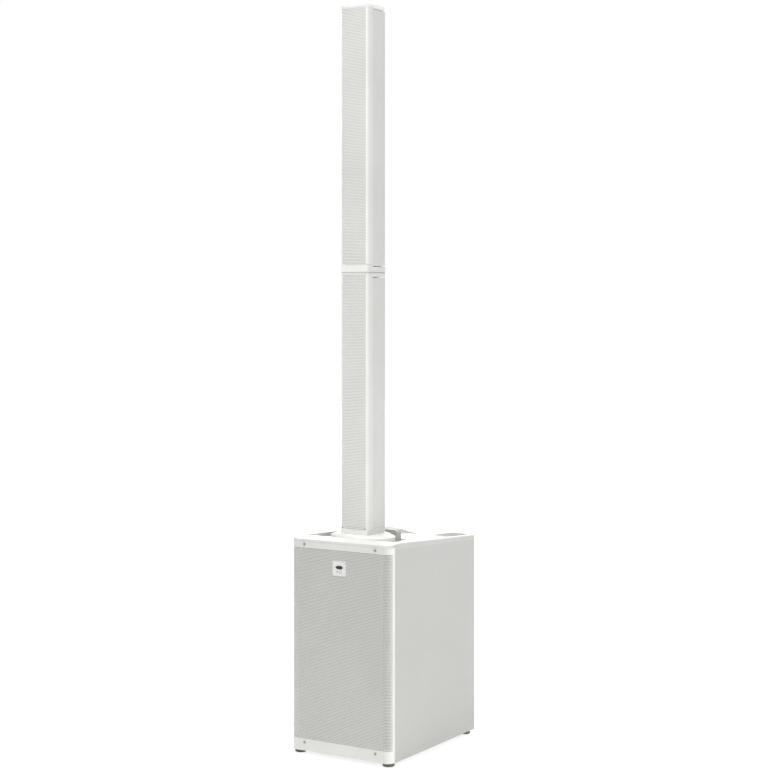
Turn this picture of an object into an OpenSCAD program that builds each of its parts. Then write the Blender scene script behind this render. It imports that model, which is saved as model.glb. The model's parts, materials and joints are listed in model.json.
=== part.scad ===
// Column PA system: a subwoofer base that carries a two-piece loudspeaker column.
// +Z is up, the front faces -Y, and the origin is on the floor under the middle of the base.

/* [Subwoofer cabinet] */
// Width of the cabinet
cab_w = 336; // [326:1:350]
// Depth of the cabinet from the grille's face to the rear
cab_d = 476; // [460:1:500]
// Height of the front edge above the underside
cab_h = 602; // [596:1:620]
// How far the top cover's rim rises from the front edge to its highest point
rim_rise = 4; // [2:1:6]
// How far the rim drops from its highest point to the rear
rim_drop = 26; // [22:1:32]
// Thickness of the cabinet's boards
wall = 12; // [10:1:12]
// Radius of the front vertical corners
corner_r = 24; // [18:1:28]
// Height of the rubber feet
foot_h = 10; // [8:1:16]
// Radius of the rubber feet
foot_r = 17; // [15:1:18]

/* [Column] */
// Width of the column
col_w = 90; // [86:1:96]
// Depth of the column
col_d = 96; // [92:1:102]
// Distance from the grille's face to the column's face
col_setback = 74; // [68:1:80]
// Height of the lower module without its spigot
lower_h = 745; // [720:5:780]
// Height of the upper module without its spigot
upper_h = 762; // [740:5:800]
// Length of the spigot under the lower module
lower_spigot = 81; // [60:1:82]
// Length of the spigot under the upper module
upper_spigot = 50; // [40:1:54]
// Number of drivers in each module
driver_count = 8; // [4:1:8]

/* [Woofer] */
// Outer radius of the woofer's frame
woofer_r = 152; // [140:1:152]
// Height of the woofer's axis above the floor
woofer_z = 388; // [384:1:392]
// Radius of each port tube's bore
port_r = 36; // [30:1:40]

/* [Rear panel] */
// Width of the control panel
panel_w = 248; // [240:2:260]
// Height of the control panel
panel_h = 418; // [410:2:430]
// Depth of the recess that holds the controls
recess = 22; // [21:1:24]

/* [Handle] */
// Length of the carry handle over its ends
handle_len = 104; // [96:2:112]
// Thickness of the handle's bar
handle_t = 14; // [12:1:16]

/* [Hidden] */
$fn = 64;

// General clearances
gap = 0.2;           // between fixed neighbours that are fitted round each other
slide_gap = 0.4;     // round a spigot in its socket
eps = 1;             // how far a cutter runs past the face that it cuts

// Cabinet
sheet = 1.5;         // thickness of the perforated steel
badge_t = 1.2;       // how far the badge stands proud of the grille
badge_groove = 0.4;  // depth of the bar pressed into it
badge_bar_w = 24;
badge_bar_h = 10;
y_f = -cab_d / 2 + badge_t / 2;      // the grille's face
y_r = y_f + cab_d;                   // the cabinet's rear
z_b = foot_h;                        // the cabinet's underside
z_f = foot_h + cab_h;                // top of the front edge
rise_d = 45;                         // the rim is highest this far behind the front
z_rim = z_f + rim_rise;
z_rear = z_rim - rim_drop;
cover_edge = 14;                     // height of the top cover's edge at the sides
lip_t = 6;                           // height of the top cover's edge at the front
side_d = corner_r + 2;               // the side boards begin this far behind the front
side_y = y_f + side_d;
band = 33;                           // height of the plain band at the grille's foot
top_band = 22;                       // height of the plain band at the grille's head
rail_d = side_d;                     // depth of the front rails that hold the grille
baffle_t = 15;
baffle_y = y_f + rail_d + 1;         // the baffle's front
rear_corner_r = 3;

// Top surface: the rim's height at a distance behind the grille's face
function rim_z(d) = d < rise_d ? z_f + rim_rise * d / rise_d
    : z_rim - rim_drop * (d - rise_d) / (cab_d - rise_d);
function under_z(d) = rim_z(d) - cover_edge;
// Top of the boards, a straight slope under the cover
function board_z(d) = under_z(side_d)
    + (under_z(cab_d) - under_z(side_d)) * (d - side_d) / (cab_d - side_d);
tray_depth = 11;                     // how far the tray lies below the rim
tray_start = 45;                     // the tray begins this far behind the front
tray_full = 150;                     // and reaches its full depth here
rim_w = 11;                          // width of the rim round the tray
hump_x = 112;                        // the rear rim is highest here
dip_x = 20;                          // and lowest from here to the middle
hump_rise = 3;
dip_depth = 9;

// Plinth round the column's foot
col_y = y_f + col_setback + col_d / 2;     // middle of the column
col_base = z_f + 12;                       // underside of the lower module
plinth_a = 100;                            // half width of the plinth
plinth_b = 72;                             // half depth of the plinth
spigot_w = 56;
spigot_d = 62;
socket_t = 6;                              // wall of the sockets
socket_w = spigot_w + 2 * slide_gap + 2 * socket_t;
socket_d = spigot_d + 2 * slide_gap + 2 * socket_t;
socket_floor = col_base - lower_spigot - 3;    // the pocket's floor
contact_r = 1.5;
contact_h = 12;
contact_pitch = 9;

// Carry handle
handle_y = y_f + 234;                // middle of the handle's bar
handle_d = 24;                       // width of the bar, front to back
handle_top = z_f + 12;
handle_post = 16;                    // thickness of each end post
pocket_w = handle_len + 30;
pocket_d = 72;
pocket_floor = handle_top - handle_t - 42;
pocket_t = 3;

// Column modules
cap_foot = 12;                       // height of the foot cap at the front
cap_foot_side = 17;                  // and at the sides
cap_top = 4.5;                       // height of the lower module's top cap at the front
cap_top_side = 13;                   // and at the sides
cap_bottom = 21;                     // height of the upper module's bottom cap at the front
cap_bottom_side = 16;                // and at the sides
cap_end = 8;                         // height of the upper module's top cap at the front
cap_end_side = 12;                   // and at the sides
cap_in = 0.8;                        // how far the upper module's top cap is set in
shadow = 2;                          // gap between the housing and each cap
shell_d = 31;                        // depth of the grille's sides
shell_in = 0.7;                      // how far they close in towards the front
col_r = 2.2;                         // radius of the column's front corners
mesh_t = 1.2;                        // thickness of the column's perforated steel
foam_t = 3.4;                        // thickness of the foam behind it
housing_t = 3;
rear_screw_x = 30;                   // screws in the housing's rear, from the middle
rear_screw_in = 8;                   // and from the cap's edge
front_screw_x = 39;                  // screws at the foot of the lower grille
front_screw_up = 6;
col_f = col_y - col_d / 2;           // the column's face
joint_z = col_base + lower_h;        // where the two modules part
col_top = joint_z + upper_h;
plug_flange = 8;
plug_flange_w = col_w - 2 * housing_t - 8;
plug_flange_d = col_d - 2 * housing_t - 18;

// Small drivers
drv_r = 31;                          // outer radius of the frame
drv_depth = 28;                      // depth of the frame behind the baffle
drv_mag_r = 22;
drv_mag_h = 15;
drv_baffle_y = col_f + 9;            // front of the modules' baffles
drv_baffle_t = 4;
lower_in0 = col_base + cap_foot + plug_flange + 6;
lower_in1 = joint_z - upper_spigot - 12;
upper_in0 = joint_z + cap_bottom + plug_flange + 4;
upper_in1 = col_top - cap_end_side - 2;

// Rear panel
panel_t = 3;
panel_y = y_r - recess;              // the panel's outer face
panel_z = z_b + 40 + panel_h / 2;    // middle of the panel
ledge = 14;                          // width of the ledge that carries the panel
ledge_t = 12;
row_knob = panel_z + 150;
row_light = row_knob + 22;
row_button = panel_z + 112;
row_jack = panel_z + 55;
row_latch = row_jack + 16;
row_power = panel_z - 18;
knob_x = [75, 25, -25, -75];
jack_x = [75, 25];
link_x = -40;
inlet_x = 60;
rocker_x = -20;
button_x = [25, -25];
rocker_tilt = 10;                    // the rocker leans this far when it is off
knob_r = 9;
knob_h = 14;
shaft_r = 3;
button_r = 3.4;
button_out = 2.5;

// Woofer: distances behind the baffle's front, and radii
basket_d = 98;                       // depth of the frame
basket_r = 76;                       // radius of the frame's rear ring
magnet_r = 78;
magnet_h = 36;
core_r = 34;                         // radius of the hole in the frame's rear and the magnet
coil_r = 28;                         // middle radius of the voice coil
coil_t = 3;
roll_r = 127;                        // middle radius of the surround's roll
cone_r = 117;                        // outer radius of the cone

// Ports
port_x = 80;                         // from the middle
port_z = z_b + 118;
port_len = 140;
port_wall = 3;

// Fasteners
foot_x = cab_w / 2 - 20;
foot_y0 = y_f + 24;
foot_y1 = y_r - 26;
screw_x = 119;                       // grille screws from the middle
screw_z0 = z_b + 24.5;
screw_z1 = z_f - 15;
screw_r = 2;

// ---------------------------------------------------------------- shared shapes

// A rectangle with round corners, centred
module round_rect(w, d, r) {
    square([w - 2 * r, d], center = true);
    square([w, d - 2 * r], center = true);
    for (x = [-1, 1], y = [-1, 1])
        translate([x * (w / 2 - r), y * (d / 2 - r)]) circle(r);
}

// An upright block with round vertical corners, standing on z = 0
module block(w, d, h, r) {
    linear_extrude(h) round_rect(w, d, r);
}

// Draws a (y, z) outline across the object's width
module across(w) {
    translate([-w / 2, 0, 0]) rotate([90, 0, 90]) linear_extrude(w) children();
}

// Turns what is drawn along +Z to point out of the front or out of the rear
module facing_front(x, y, z) {
    translate([x, y, z]) rotate([90, 0, 0]) children();
}
module facing_rear(x, y, z) {
    translate([x, y, z]) rotate([90, 0, 180]) children();
}

// A cross-recess screw: its head's top is at z = 0 and it points down
module screw(head_r, head_h, shank_r, length) {
    difference() {
        union() {
            translate([0, 0, -head_h]) cylinder(h = head_h, r = head_r);
            translate([0, 0, -length]) cylinder(h = length, r = shank_r);
        }
        for (a = [0, 90]) rotate(a)
            translate([-head_r * 0.6, -0.4, -head_h * 0.6]) cube([head_r * 1.2, 0.8, head_h]);
    }
}

// ---------------------------------------------------------------- cabinet

// Plan of the cabinet's front: the grille's outline, moved in by t
module front_plan(t) {
    translate([0, y_f + t + (cab_d - t) / 2])
        round_rect(cab_w - 2 * t, cab_d - t, corner_r - t);
}

// A front rail that carries the grille, between two heights
module front_rail(z0, z1) {
    translate([0, 0, z0]) linear_extrude(z1 - z0) intersection() {
        front_plan(sheet);
        translate([-cab_w / 2, y_f]) square([cab_w, rail_d]);
    }
}

// Plan of the whole cabinet, with tighter corners at the rear
module cabinet_plan() {
    front_plan(0);
    translate([0, y_r - cab_d / 4]) round_rect(cab_w, cab_d / 2, rear_corner_r);
}

module cabinet_boards() {
    difference() {
        intersection() {
            across(cab_w) polygon([[side_y, z_b], [y_r, z_b], [y_r, board_z(cab_d)],
                [side_y, board_z(side_d)]]);
            linear_extrude(z_rim) cabinet_plan();
        }
        across(cab_w - 2 * wall) polygon([[side_y - eps, z_b + wall], [y_r - wall, z_b + wall],
            [y_r - wall, board_z(cab_d - wall) - wall],
            [side_y - eps, board_z(side_d - eps) - wall]]);
    }
}

module cabinet_shell() {
    color("whitesmoke") difference() {
        union() {
            cabinet_boards();
            front_rail(z_b, z_b + band);
            front_rail(z_f - top_band - 2, z_f - lip_t);
            // frame round the control panel's recess
            translate([0, y_r - recess - panel_t - ledge_t, panel_z])
                rotate([-90, 0, 0]) linear_extrude(recess + panel_t + ledge_t - wall / 2)
                    square([panel_w + 24, panel_h + 24], center = true);
        }
        // the recess and the opening in its ledge
        translate([0, y_r - recess - panel_t, panel_z]) rotate([-90, 0, 0])
            linear_extrude(recess + panel_t + eps)
                square([panel_w + 2 * gap, panel_h + 2 * gap], center = true);
        translate([0, y_r - recess - panel_t - ledge_t - eps, panel_z]) rotate([-90, 0, 0])
            linear_extrude(ledge_t + 2 * eps)
                square([panel_w - 2 * ledge, panel_h - 2 * ledge], center = true);
        // openings under the top cover for the column's socket and the handle's pocket
        translate([0, col_y, z_rear - cover_edge - wall - eps])
            block(socket_w + 2, socket_d + 2, cab_h, 4);
        translate([0, handle_y, z_rear - cover_edge - wall - eps])
            block(pocket_w + 8, pocket_d + 8, cab_h, 12);
        grille_screw_holes();
        for (x = [-foot_x, foot_x], y = [foot_y0, foot_y1])
            translate([x, y, z_b - eps]) cylinder(h = wall + 2 * eps, r = screw_r + gap);
    }
}

module grille_screw_holes() {
    for (x = [-screw_x, screw_x], z = [screw_z0, screw_z1]) {
        facing_front(x, y_f + 3 + gap, z) cylinder(h = 3, r = 4 + gap);
        facing_front(x, y_f + 24, z) cylinder(h = 24, r = screw_r + gap);
    }
}

module front_baffle() {
    color("dimgray") difference() {
        translate([-cab_w / 2 + wall + gap, baffle_y, z_b + wall])
            cube([cab_w - 2 * wall - 2 * gap, baffle_t,
                board_z(rail_d + 1 + baffle_t) - wall - gap - z_b - wall]);
        facing_front(0, baffle_y + baffle_t + eps, woofer_z)
            cylinder(h = baffle_t + 2 * eps, r = woofer_r - 12, $fn = 96);
        for (s = [-1, 1]) facing_front(s * port_x, baffle_y + baffle_t + eps, port_z)
            cylinder(h = baffle_t + 2 * eps, r = port_r + port_wall + gap);
    }
}

module port_tubes() {
    color("#303030") for (s = [-1, 1]) facing_front(s * port_x, baffle_y + port_len, port_z)
        difference() {
            union() {
                cylinder(h = port_len, r = port_r + port_wall);
                translate([0, 0, port_len]) cylinder(h = port_wall, r = port_r + 3 * port_wall);
            }
            translate([0, 0, -eps]) cylinder(h = port_len + port_wall + 2 * eps, r = port_r);
        }
}

// Profiles below are drawn as (radius, distance towards the front) and spun round the axis
module woofer_frame() {
    color("#202020") facing_front(0, baffle_y, woofer_z) rotate_extrude($fn = 96)
        polygon([[woofer_r - 14, 5], [woofer_r, 5], [woofer_r, 0], [woofer_r - 12.4, 0],
            [basket_r, 6 - basket_d], [basket_r, -basket_d], [core_r, -basket_d],
            [core_r, 6 - basket_d], [basket_r - 6, 6 - basket_d], [woofer_r - 17, 0]]);
}

module woofer_magnet() {
    core = coil_r - 4;
    color("#505050") facing_front(0, baffle_y, woofer_z) rotate_extrude($fn = 96)
        polygon([[core_r, -basket_d], [magnet_r, -basket_d], [magnet_r, 6 - basket_d - magnet_h],
            [magnet_r - 10, 6 - basket_d - magnet_h], [magnet_r - 10, -basket_d - magnet_h],
            [0, -basket_d - magnet_h], [0, 4 - basket_d], [core, 4 - basket_d],
            [core, 8 - basket_d - magnet_h], [core_r, 8 - basket_d - magnet_h]]);
}

module woofer_surround() {
    color("#181818") facing_front(0, baffle_y, woofer_z) rotate_extrude($fn = 96)
        translate([roll_r, 6]) intersection() {
            difference() {
                circle(8.5, $fn = 32);
                circle(7, $fn = 32);
            }
            translate([-10, -1]) square([20, 12]);
        }
}

module woofer_cone() {
    neck = -50;                      // the cone meets the dust cap and the coil here
    inside = coil_r - coil_t / 2;
    outside = coil_r + coil_t / 2;
    color("#282828") facing_front(0, baffle_y, woofer_z) rotate_extrude($fn = 96)
        polygon([[cone_r, 2], [cone_r, 5], [30, neck], [0, neck + 10], [0, neck + 7],
            [inside, neck - 4], [inside, -basket_d - 6], [outside, -basket_d - 6],
            [outside, neck - 4]]);
}

module sub_grille() {
    color("white") difference() {
        translate([0, 0, z_b + 0.5]) linear_extrude(z_f - lip_t - z_b - 1) intersection() {
            difference() {
                front_plan(0);
                front_plan(sheet);
            }
            translate([-cab_w / 2, y_f - eps]) square([cab_w, side_d + eps - 0.8]);
        }
        for (x = [-screw_x, screw_x], z = [screw_z0, screw_z1])
            facing_front(x, y_f + 3, z) cylinder(h = 5, r = 4 + gap);
    }
}

module sub_grille_foam() {
    foam_w = cab_w - 2 * corner_r - 2;
    color("#3a3a3a") translate([-foam_w / 2, y_f + sheet + gap, z_b + band + 1])
        cube([foam_w, 5, z_f - top_band - 3 - z_b - band - 1]);
}

module grille_screws() {
    color("gray") for (x = [-screw_x, screw_x], z = [screw_z0, screw_z1])
        facing_front(x, y_f - 1, z) screw(4, 2.6, screw_r, 22);
}

module badge_plate() {
    color("silver") facing_front(0, y_f, z_b + 527) difference() {
        block(45, 42, badge_t, 4);
        // a plain rounded bar pressed into the plate
        translate([0, 3, badge_t - badge_groove]) block(badge_bar_w, badge_bar_h, eps, 4.5);
    }
}

// ---------------------------------------------------------------- top cover

function smooth(t) = t <= 0 ? 0 : t >= 1 ? 1 : t * t * (3 - 2 * t);
// Height of the rear rim above or below the straight rim, at a distance from the middle
function rear_wave(x) = abs(x) > hump_x
    ? hump_rise * (1 - smooth((abs(x) - hump_x) / (cab_w / 2 - hump_x)))
    : hump_rise - (hump_rise + dip_depth) * (1 - smooth((abs(x) - dip_x) / (hump_x - dip_x)));

module cover_block(top_add) {
    across(cab_w) polygon([[y_f, z_f - lip_t], [side_y, z_f - lip_t],
        [side_y, under_z(side_d)], [y_r, under_z(cab_d)], [y_r, z_rear + top_add],
        [y_f + rise_d, z_rim + top_add], [y_f, z_f + top_add]]);
}

// Everything above the rim at the rear, as a wave across the width
module rear_wave_cut() {
    n = 48;
    translate([0, y_r + eps, 0]) rotate([90, 0, 0]) linear_extrude(rim_w + 8)
        polygon(concat([[cab_w / 2 + eps, z_rim], [-cab_w / 2 - eps, z_rim]],
            [for (i = [0 : n]) let (x = -cab_w / 2 - eps + i * (cab_w + 2 * eps) / n)
                [x, z_rear + rear_wave(x)]]));
}

module tray_cut() {
    intersection() {
        across(cab_w) polygon([[y_f + tray_start, z_rim + 1],
            [y_f + tray_full, rim_z(tray_full) - tray_depth],
            [y_r, z_rear - tray_depth], [y_r, z_rim + 60], [y_f + tray_start, z_rim + 60]]);
        translate([0, (y_f + y_r) / 2, z_b])
            block(cab_w - 2 * rim_w, cab_d - 2 * rim_w, 2 * cab_h, 16);
    }
}

module plinth() {
    intersection() {
        cover_block(30);
        translate([0, col_y, 0]) hull() {
            for (s = [[1, -24, 28], [0.97, 5, 1], [0.8, 10.6, 0.6], [0.66, 11, 1]])
                translate([0, 0, z_f + s[1]])
                    scale([s[0] * plinth_a, (0.5 + s[0] / 2) * plinth_b, 1])
                        cylinder(h = s[2], r = 1, $fn = 72);
        }
    }
}

module top_cover() {
    color("white") difference() {
        union() {
            difference() {
                intersection() {
                    cover_block(hump_rise + 1);
                    linear_extrude(2 * cab_h) cabinet_plan();
                }
                // trims the rim to its slope in front of the rear rim
                across(cab_w + 2) polygon([[y_f - eps, z_f - 0.1], [y_f + rise_d, z_rim],
                    [y_r - rim_w, rim_z(cab_d - rim_w)], [y_r - rim_w, z_rim + 40],
                    [y_f - eps, z_rim + 40]]);
                rear_wave_cut();
                tray_cut();
            }
            plinth();
            // the handle's pocket, up to the tray
            intersection() {
                translate([0, handle_y, pocket_floor - pocket_t])
                    block(pocket_w, pocket_d, 60, 10);
                across(cab_w) polygon([[y_f, 0], [y_r, 0], [y_r, z_rear - tray_depth - gap],
                    [y_f + rise_d, z_rim - tray_depth - gap], [y_f, z_rim - tray_depth - gap]]);
            }
        }
        translate([0, handle_y, pocket_floor])
            block(pocket_w - 2 * pocket_t, pocket_d - 2 * pocket_t, 80, 8);
        translate([0, col_y, z_b]) block(socket_w + 2 * gap, socket_d + 2 * gap, cab_h + 40, 4);
    }
}

module carry_handle() {
    color("whitesmoke") difference() {
        translate([0, handle_y, pocket_floor]) rotate([90, 0, 0])
            translate([0, 0, -handle_d / 2]) linear_extrude(handle_d) difference() {
                translate([0, (handle_top - pocket_floor) / 2])
                    round_rect(handle_len, handle_top - pocket_floor, 12);
                translate([0, (handle_top - pocket_floor - handle_t) / 2 - 8])
                    round_rect(handle_len - 2 * handle_post, handle_top - pocket_floor - handle_t
                        + 16, 10);
                translate([-handle_len / 2, -eps]) square([handle_len, eps]);
            }
        // grip grooves along the bar
        for (i = [-1, 0, 1]) translate([-handle_len / 2 + 26, handle_y + i * 8 - 1, handle_top - 0.8])
            cube([handle_len - 52, 2, 2]);
    }
}

// ---------------------------------------------------------------- column socket

module contact_grid() {
    for (x = [-1.5 : 1 : 1.5], y = [-0.5, 0.5]) translate([x * contact_pitch, y * contact_pitch])
        children();
}

module column_socket() {
    color("#2a2a2a") difference() {
        translate([0, col_y, socket_floor - 6])
            block(socket_w, socket_d, col_base - socket_floor + 6 - 0.5, 4);
        translate([0, col_y, socket_floor])
            block(spigot_w + 2 * slide_gap, spigot_d + 2 * slide_gap, 200, 3);
        translate([0, col_y, socket_floor - 6 - eps]) contact_grid()
            cylinder(h = 6 + 2 * eps, r = contact_r);
    }
}

module contact_pins(z_floor) {
    color("gold") translate([0, col_y, z_floor - 10]) contact_grid()
        cylinder(h = 10 + contact_h, r = contact_r);
}

module socket_contacts() {
    contact_pins(socket_floor);
}

// ---------------------------------------------------------------- feet

module rubber_feet() {
    color("#1c1c1c") for (x = [-foot_x, foot_x], y = [foot_y0, foot_y1]) translate([x, y, 0])
        rotate_extrude() polygon([[8, 0], [foot_r - 2, 0], [foot_r, 2], [foot_r - 1, foot_h],
            [screw_r + gap, foot_h], [screw_r + gap, 6], [8, 6]]);
}

module foot_screws() {
    color("gray") for (x = [-foot_x, foot_x], y = [foot_y0, foot_y1]) translate([x, y, 3.4])
        rotate([180, 0, 0]) screw(5, 2.6, screw_r, foot_h + 4);
}

// ---------------------------------------------------------------- rear panel

module rear_panel() {
    color("#26282b") difference() {
        translate([0, panel_y - panel_t, panel_z]) rotate([-90, 0, 0])
            linear_extrude(panel_t) round_rect(panel_w, panel_h, 3);
        for (x = knob_x) facing_rear(x, panel_y - panel_t - eps, row_knob)
            cylinder(h = panel_t + 2 * eps, r = shaft_r + 0.8);
        for (x = button_x) facing_rear(x, panel_y - panel_t - eps, row_button)
            cylinder(h = panel_t + 2 * eps, r = button_r + 0.4);
        for (x = jack_x) facing_rear(x, panel_y - panel_t - eps, row_jack)
            cylinder(h = panel_t + 2 * eps, r = 12 + gap);
        for (x = jack_x) facing_rear(x, panel_y - panel_t - eps, row_latch)
            translate([-5, -3, 0]) cube([10, 6, panel_t + 2 * eps]);
        facing_rear(link_x, panel_y - panel_t - eps, row_jack)
            cylinder(h = panel_t + 2 * eps, r = 12 + gap);
        facing_rear(inlet_x, panel_y - panel_t - eps, row_power)
            translate([-15, -12, 0]) cube([30, 24, panel_t + 2 * eps]);
        facing_rear(rocker_x, panel_y - panel_t - eps, row_power)
            translate([-10, -14, 0]) cube([20, 28, panel_t + 2 * eps]);
        for (x = knob_x) facing_rear(x, panel_y - panel_t - eps, row_light)
            cylinder(h = panel_t + 2 * eps, r = 1.5 + gap);
        for (p = panel_screw_places()) facing_rear(p[0], panel_y - panel_t - eps, p[1])
            cylinder(h = panel_t + 2 * eps, r = screw_r + gap);
    }
}

function panel_screw_places() = [for (x = [-1, 1], z = [-1, 0, 1])
    [x * (panel_w / 2 - 7), panel_z + z * (panel_h / 2 - 7)]];

module rear_panel_screws() {
    color("#404040") for (p = panel_screw_places()) facing_rear(p[0], panel_y + 2, p[1])
        screw(3.6, 2, screw_r, 2 + panel_t);
}

module heat_sink() {
    fins = 19;
    sink_w = 196;
    sink_h = 130;
    plate_t = 4;
    fin_t = 2;
    pitch = (sink_w - 6) / (fins - 1);
    color("#3c3f43") facing_rear(0, panel_y, panel_z - 122) {
        block(sink_w, sink_h, plate_t, 2);
        for (i = [0 : fins - 1])
            translate([(i - (fins - 1) / 2) * pitch - fin_t / 2, 2 - sink_h / 2, plate_t])
                cube([fin_t, sink_h - 4, recess - plate_t - 4]);
    }
}

module amplifier_board() {
    color("#1f5a34") translate([0, y_r - recess - panel_t - ledge_t - 26, panel_z - 60]) {
        translate([-100, 0, -120]) cube([200, 1.6, 260]);
        // transformer, capacitors and output coils
        color("#333333") translate([-70, -36, -95]) cube([62, 36, 55]);
        for (i = [0 : 3]) color("#222244") translate([20 + i * 18, 0, -70]) rotate([90, 0, 0])
            cylinder(h = 30, r = 8);
        for (i = [0, 1]) color("#7a4a22") translate([30 + i * 36, 0, -20]) rotate([90, 0, 0])
            cylinder(h = 16, r = 14);
        // posts that hold it to the panel
        for (x = [-90, 90], z = [-112, 130]) color("silver") translate([x, 1.6, z])
            rotate([-90, 0, 0]) cylinder(h = ledge_t + 26 - 1.6, r = 3);
    }
}

module mains_inlet() {
    color("#151515") facing_rear(inlet_x, panel_y, row_power) difference() {
        union() {
            translate([-19, -14, 0]) cube([38, 28, 2.5]);
            translate([-14.8, -11.8, -22]) cube([29.6, 23.6, 22]);
        }
        translate([-12, -8, -15]) cube([24, 16, 18]);
    }
    color("silver") facing_rear(inlet_x, panel_y, row_power) for (x = [-7, 0, 7])
        translate([x - 1, (x == 0 ? 1.5 : -2.5), -17]) cube([2, 4, 14]);
}

module combo_jacks() {
    color("#1a1a1a") for (x = jack_x) facing_rear(x, panel_y, row_jack) difference() {
        union() {
            translate([-13, -15.5, 0]) cube([26, 28, 2.5]);
            translate([0, 0, -30]) cylinder(h = 30, r = 12);
        }
        translate([0, 0, -1]) cylinder(h = 5, r = 9.6);
        translate([0, 0, -26]) cylinder(h = 30, r = 3.3);
        for (a = [90, 210, 330]) rotate(a) translate([6.3, 0, -14]) cylinder(h = 16, r = 1.4);
    }
}

module latch(x) {
    color("#555555") facing_rear(x, panel_y, row_latch) {
        translate([-4, -2.2, -6]) cube([8, 4.4, 8.5]);
        translate([-6, -2.2, -6.5]) cube([12, 4.4, 2]);
    }
}

module jack_latch_a() {
    latch(jack_x[0]);
}

module jack_latch_b() {
    latch(jack_x[1]);
}

module link_output() {
    color("#1a1a1a") facing_rear(link_x, panel_y, row_jack) difference() {
        union() {
            translate([-13, -15.5, 0]) cube([26, 31, 2.5]);
            translate([0, 0, -18]) cylinder(h = 18, r = 12);
        }
        translate([0, 0, -13]) cylinder(h = 18, r = 9.7);
    }
    color("silver") facing_rear(link_x, panel_y, row_jack)
        for (a = [90, 210, 330]) rotate(a) translate([6.3, 0, -14]) cylinder(h = 11, r = 1.2);
}

module switch_frame() {
    color("#111111") facing_rear(rocker_x, panel_y, row_power) difference() {
        union() {
            translate([-12, -16, 0]) cube([24, 32, 2]);
            translate([-9.8, -13.8, -20]) cube([19.6, 27.6, 20]);
        }
        translate([-7, -11, -16]) cube([14, 22, 20]);
    }
}

// The rocker leans to its off side; its pivot is rocker_pivot below the panel's face
rocker_pivot = 3;
module power_rocker() {
    color("#c03028") facing_rear(rocker_x, panel_y - rocker_pivot, row_power)
        rotate([rocker_tilt, 0, 0]) rotate([90, 0, 90]) translate([0, 0, -6.6]) linear_extrude(13.2)
            polygon([[-9.6, -1], [-9.6, 6.5], [0, 5], [9.6, 6.5], [9.6, -1], [4, -7], [-4, -7]]);
}

module knob(x) {
    color("#e8e8e8") facing_rear(x, panel_y + 0.5, row_knob) difference() {
        union() {
            rotate_extrude() polygon([[0, 0], [knob_r, 0], [knob_r, 2], [knob_r - 1.4, 3.4],
                [knob_r - 2, knob_h], [0, knob_h]]);
            translate([0, 0, -14]) cylinder(h = 14, r = shaft_r);
        }
        translate([-0.5, 1.5, knob_h - 0.7]) cube([1, knob_r, 2]);
    }
}

module input_knob_a() {
    knob(knob_x[0]);
}

module input_knob_b() {
    knob(knob_x[1]);
}

module sub_knob() {
    knob(knob_x[2]);
}

module master_knob() {
    knob(knob_x[3]);
}

module potentiometers() {
    color("#9a9a9a") for (x = knob_x) facing_rear(x, panel_y - panel_t, row_knob) difference() {
        translate([-8, -9, -12]) cube([16, 18, 11.8]);
        translate([0, 0, -11]) cylinder(h = 14, r = shaft_r + 0.1);
    }
}

module press_button(x) {
    color("#dddddd") facing_rear(x, panel_y, row_button) rotate_extrude() polygon([[0, -6],
        [button_r + 1.6, -6], [button_r + 1.6, -4.2], [button_r, -4.2],
        [button_r, button_out - 0.5], [button_r - 0.5, button_out], [0, button_out]]);
}

module mode_button() {
    press_button(button_x[0]);
}

module pairing_button() {
    press_button(button_x[1]);
}

module status_lights() {
    color("#30d050") for (x = knob_x) facing_rear(x, panel_y - panel_t, row_light)
        rotate_extrude() polygon([[0, -3], [2.6, -3], [2.6, -gap], [1.5, -gap],
            [1.5, panel_t + 0.6], [1, panel_t + 1.2], [0, panel_t + 1.4]]);
}

// ---------------------------------------------------------------- column parts

// Plan of the column, moved in by t: a shell that narrows a little to the front, square behind
module column_plan(t) {
    w = col_w / 2 - t;
    f = w - shell_in;
    translate([0, col_y]) union() {
        polygon([[-w, col_d / 2 - t - 1], [-w, -col_d / 2 + shell_d], [-f, -col_d / 2 + t + col_r],
            [f, -col_d / 2 + t + col_r], [w, -col_d / 2 + shell_d], [w, col_d / 2 - t - 1]]);
        translate([-w + 1, 0]) square([2 * w - 2, col_d / 2 - t]);
        translate([-f + col_r, -col_d / 2 + t]) square([2 * (f - col_r), col_r + 1]);
        for (s = [-1, 1]) translate([s * (f - col_r), -col_d / 2 + t + col_r]) circle(col_r);
        for (s = [-1, 1]) translate([s * (w - 1), col_d / 2 - t - 1]) circle(1);
    }
}

module cap(z0, z1, t = 0) {
    translate([0, 0, z0]) linear_extrude(z1 - z0) column_plan(t);
}

// The column's plan behind the sides of its grille
module plan_behind_shell(t) {
    intersection() {
        column_plan(t);
        translate([-col_w, col_f + shell_d]) square([2 * col_w, col_d]);
    }
}

// The part of a cap that the grille passes in front of
module cap_behind_grille(z0, z1, t = 0) {
    translate([0, 0, z0]) linear_extrude(z1 - z0) {
        plan_behind_shell(t);
        intersection() {
            column_plan(mesh_t + gap);
            translate([-col_w, col_f + mesh_t + foam_t + 2 * gap]) square([2 * col_w, shell_d]);
        }
    }
}

// Blocks inside the housing that take a cap's screws
module screw_blocks(z0, z1) {
    for (x = [-rear_screw_x, rear_screw_x])
        translate([x - 5, col_y + col_d / 2 - housing_t - 8.2, z0]) cube([10, 8, z1 - z0]);
}

module screw_block_holes(z) {
    for (x = [-rear_screw_x, rear_screw_x]) facing_rear(x, col_y + col_d / 2 - 10, z)
        cylinder(h = 12, r = 1.6, $fn = 24);
}

// Clears the heads of the rear screws
module housing_holes(z_list) {
    for (x = [-rear_screw_x, rear_screw_x], z = z_list) facing_rear(x, col_y + col_d / 2 - 6, z)
        cylinder(h = 8, r = 3.2, $fn = 24);
}

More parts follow.
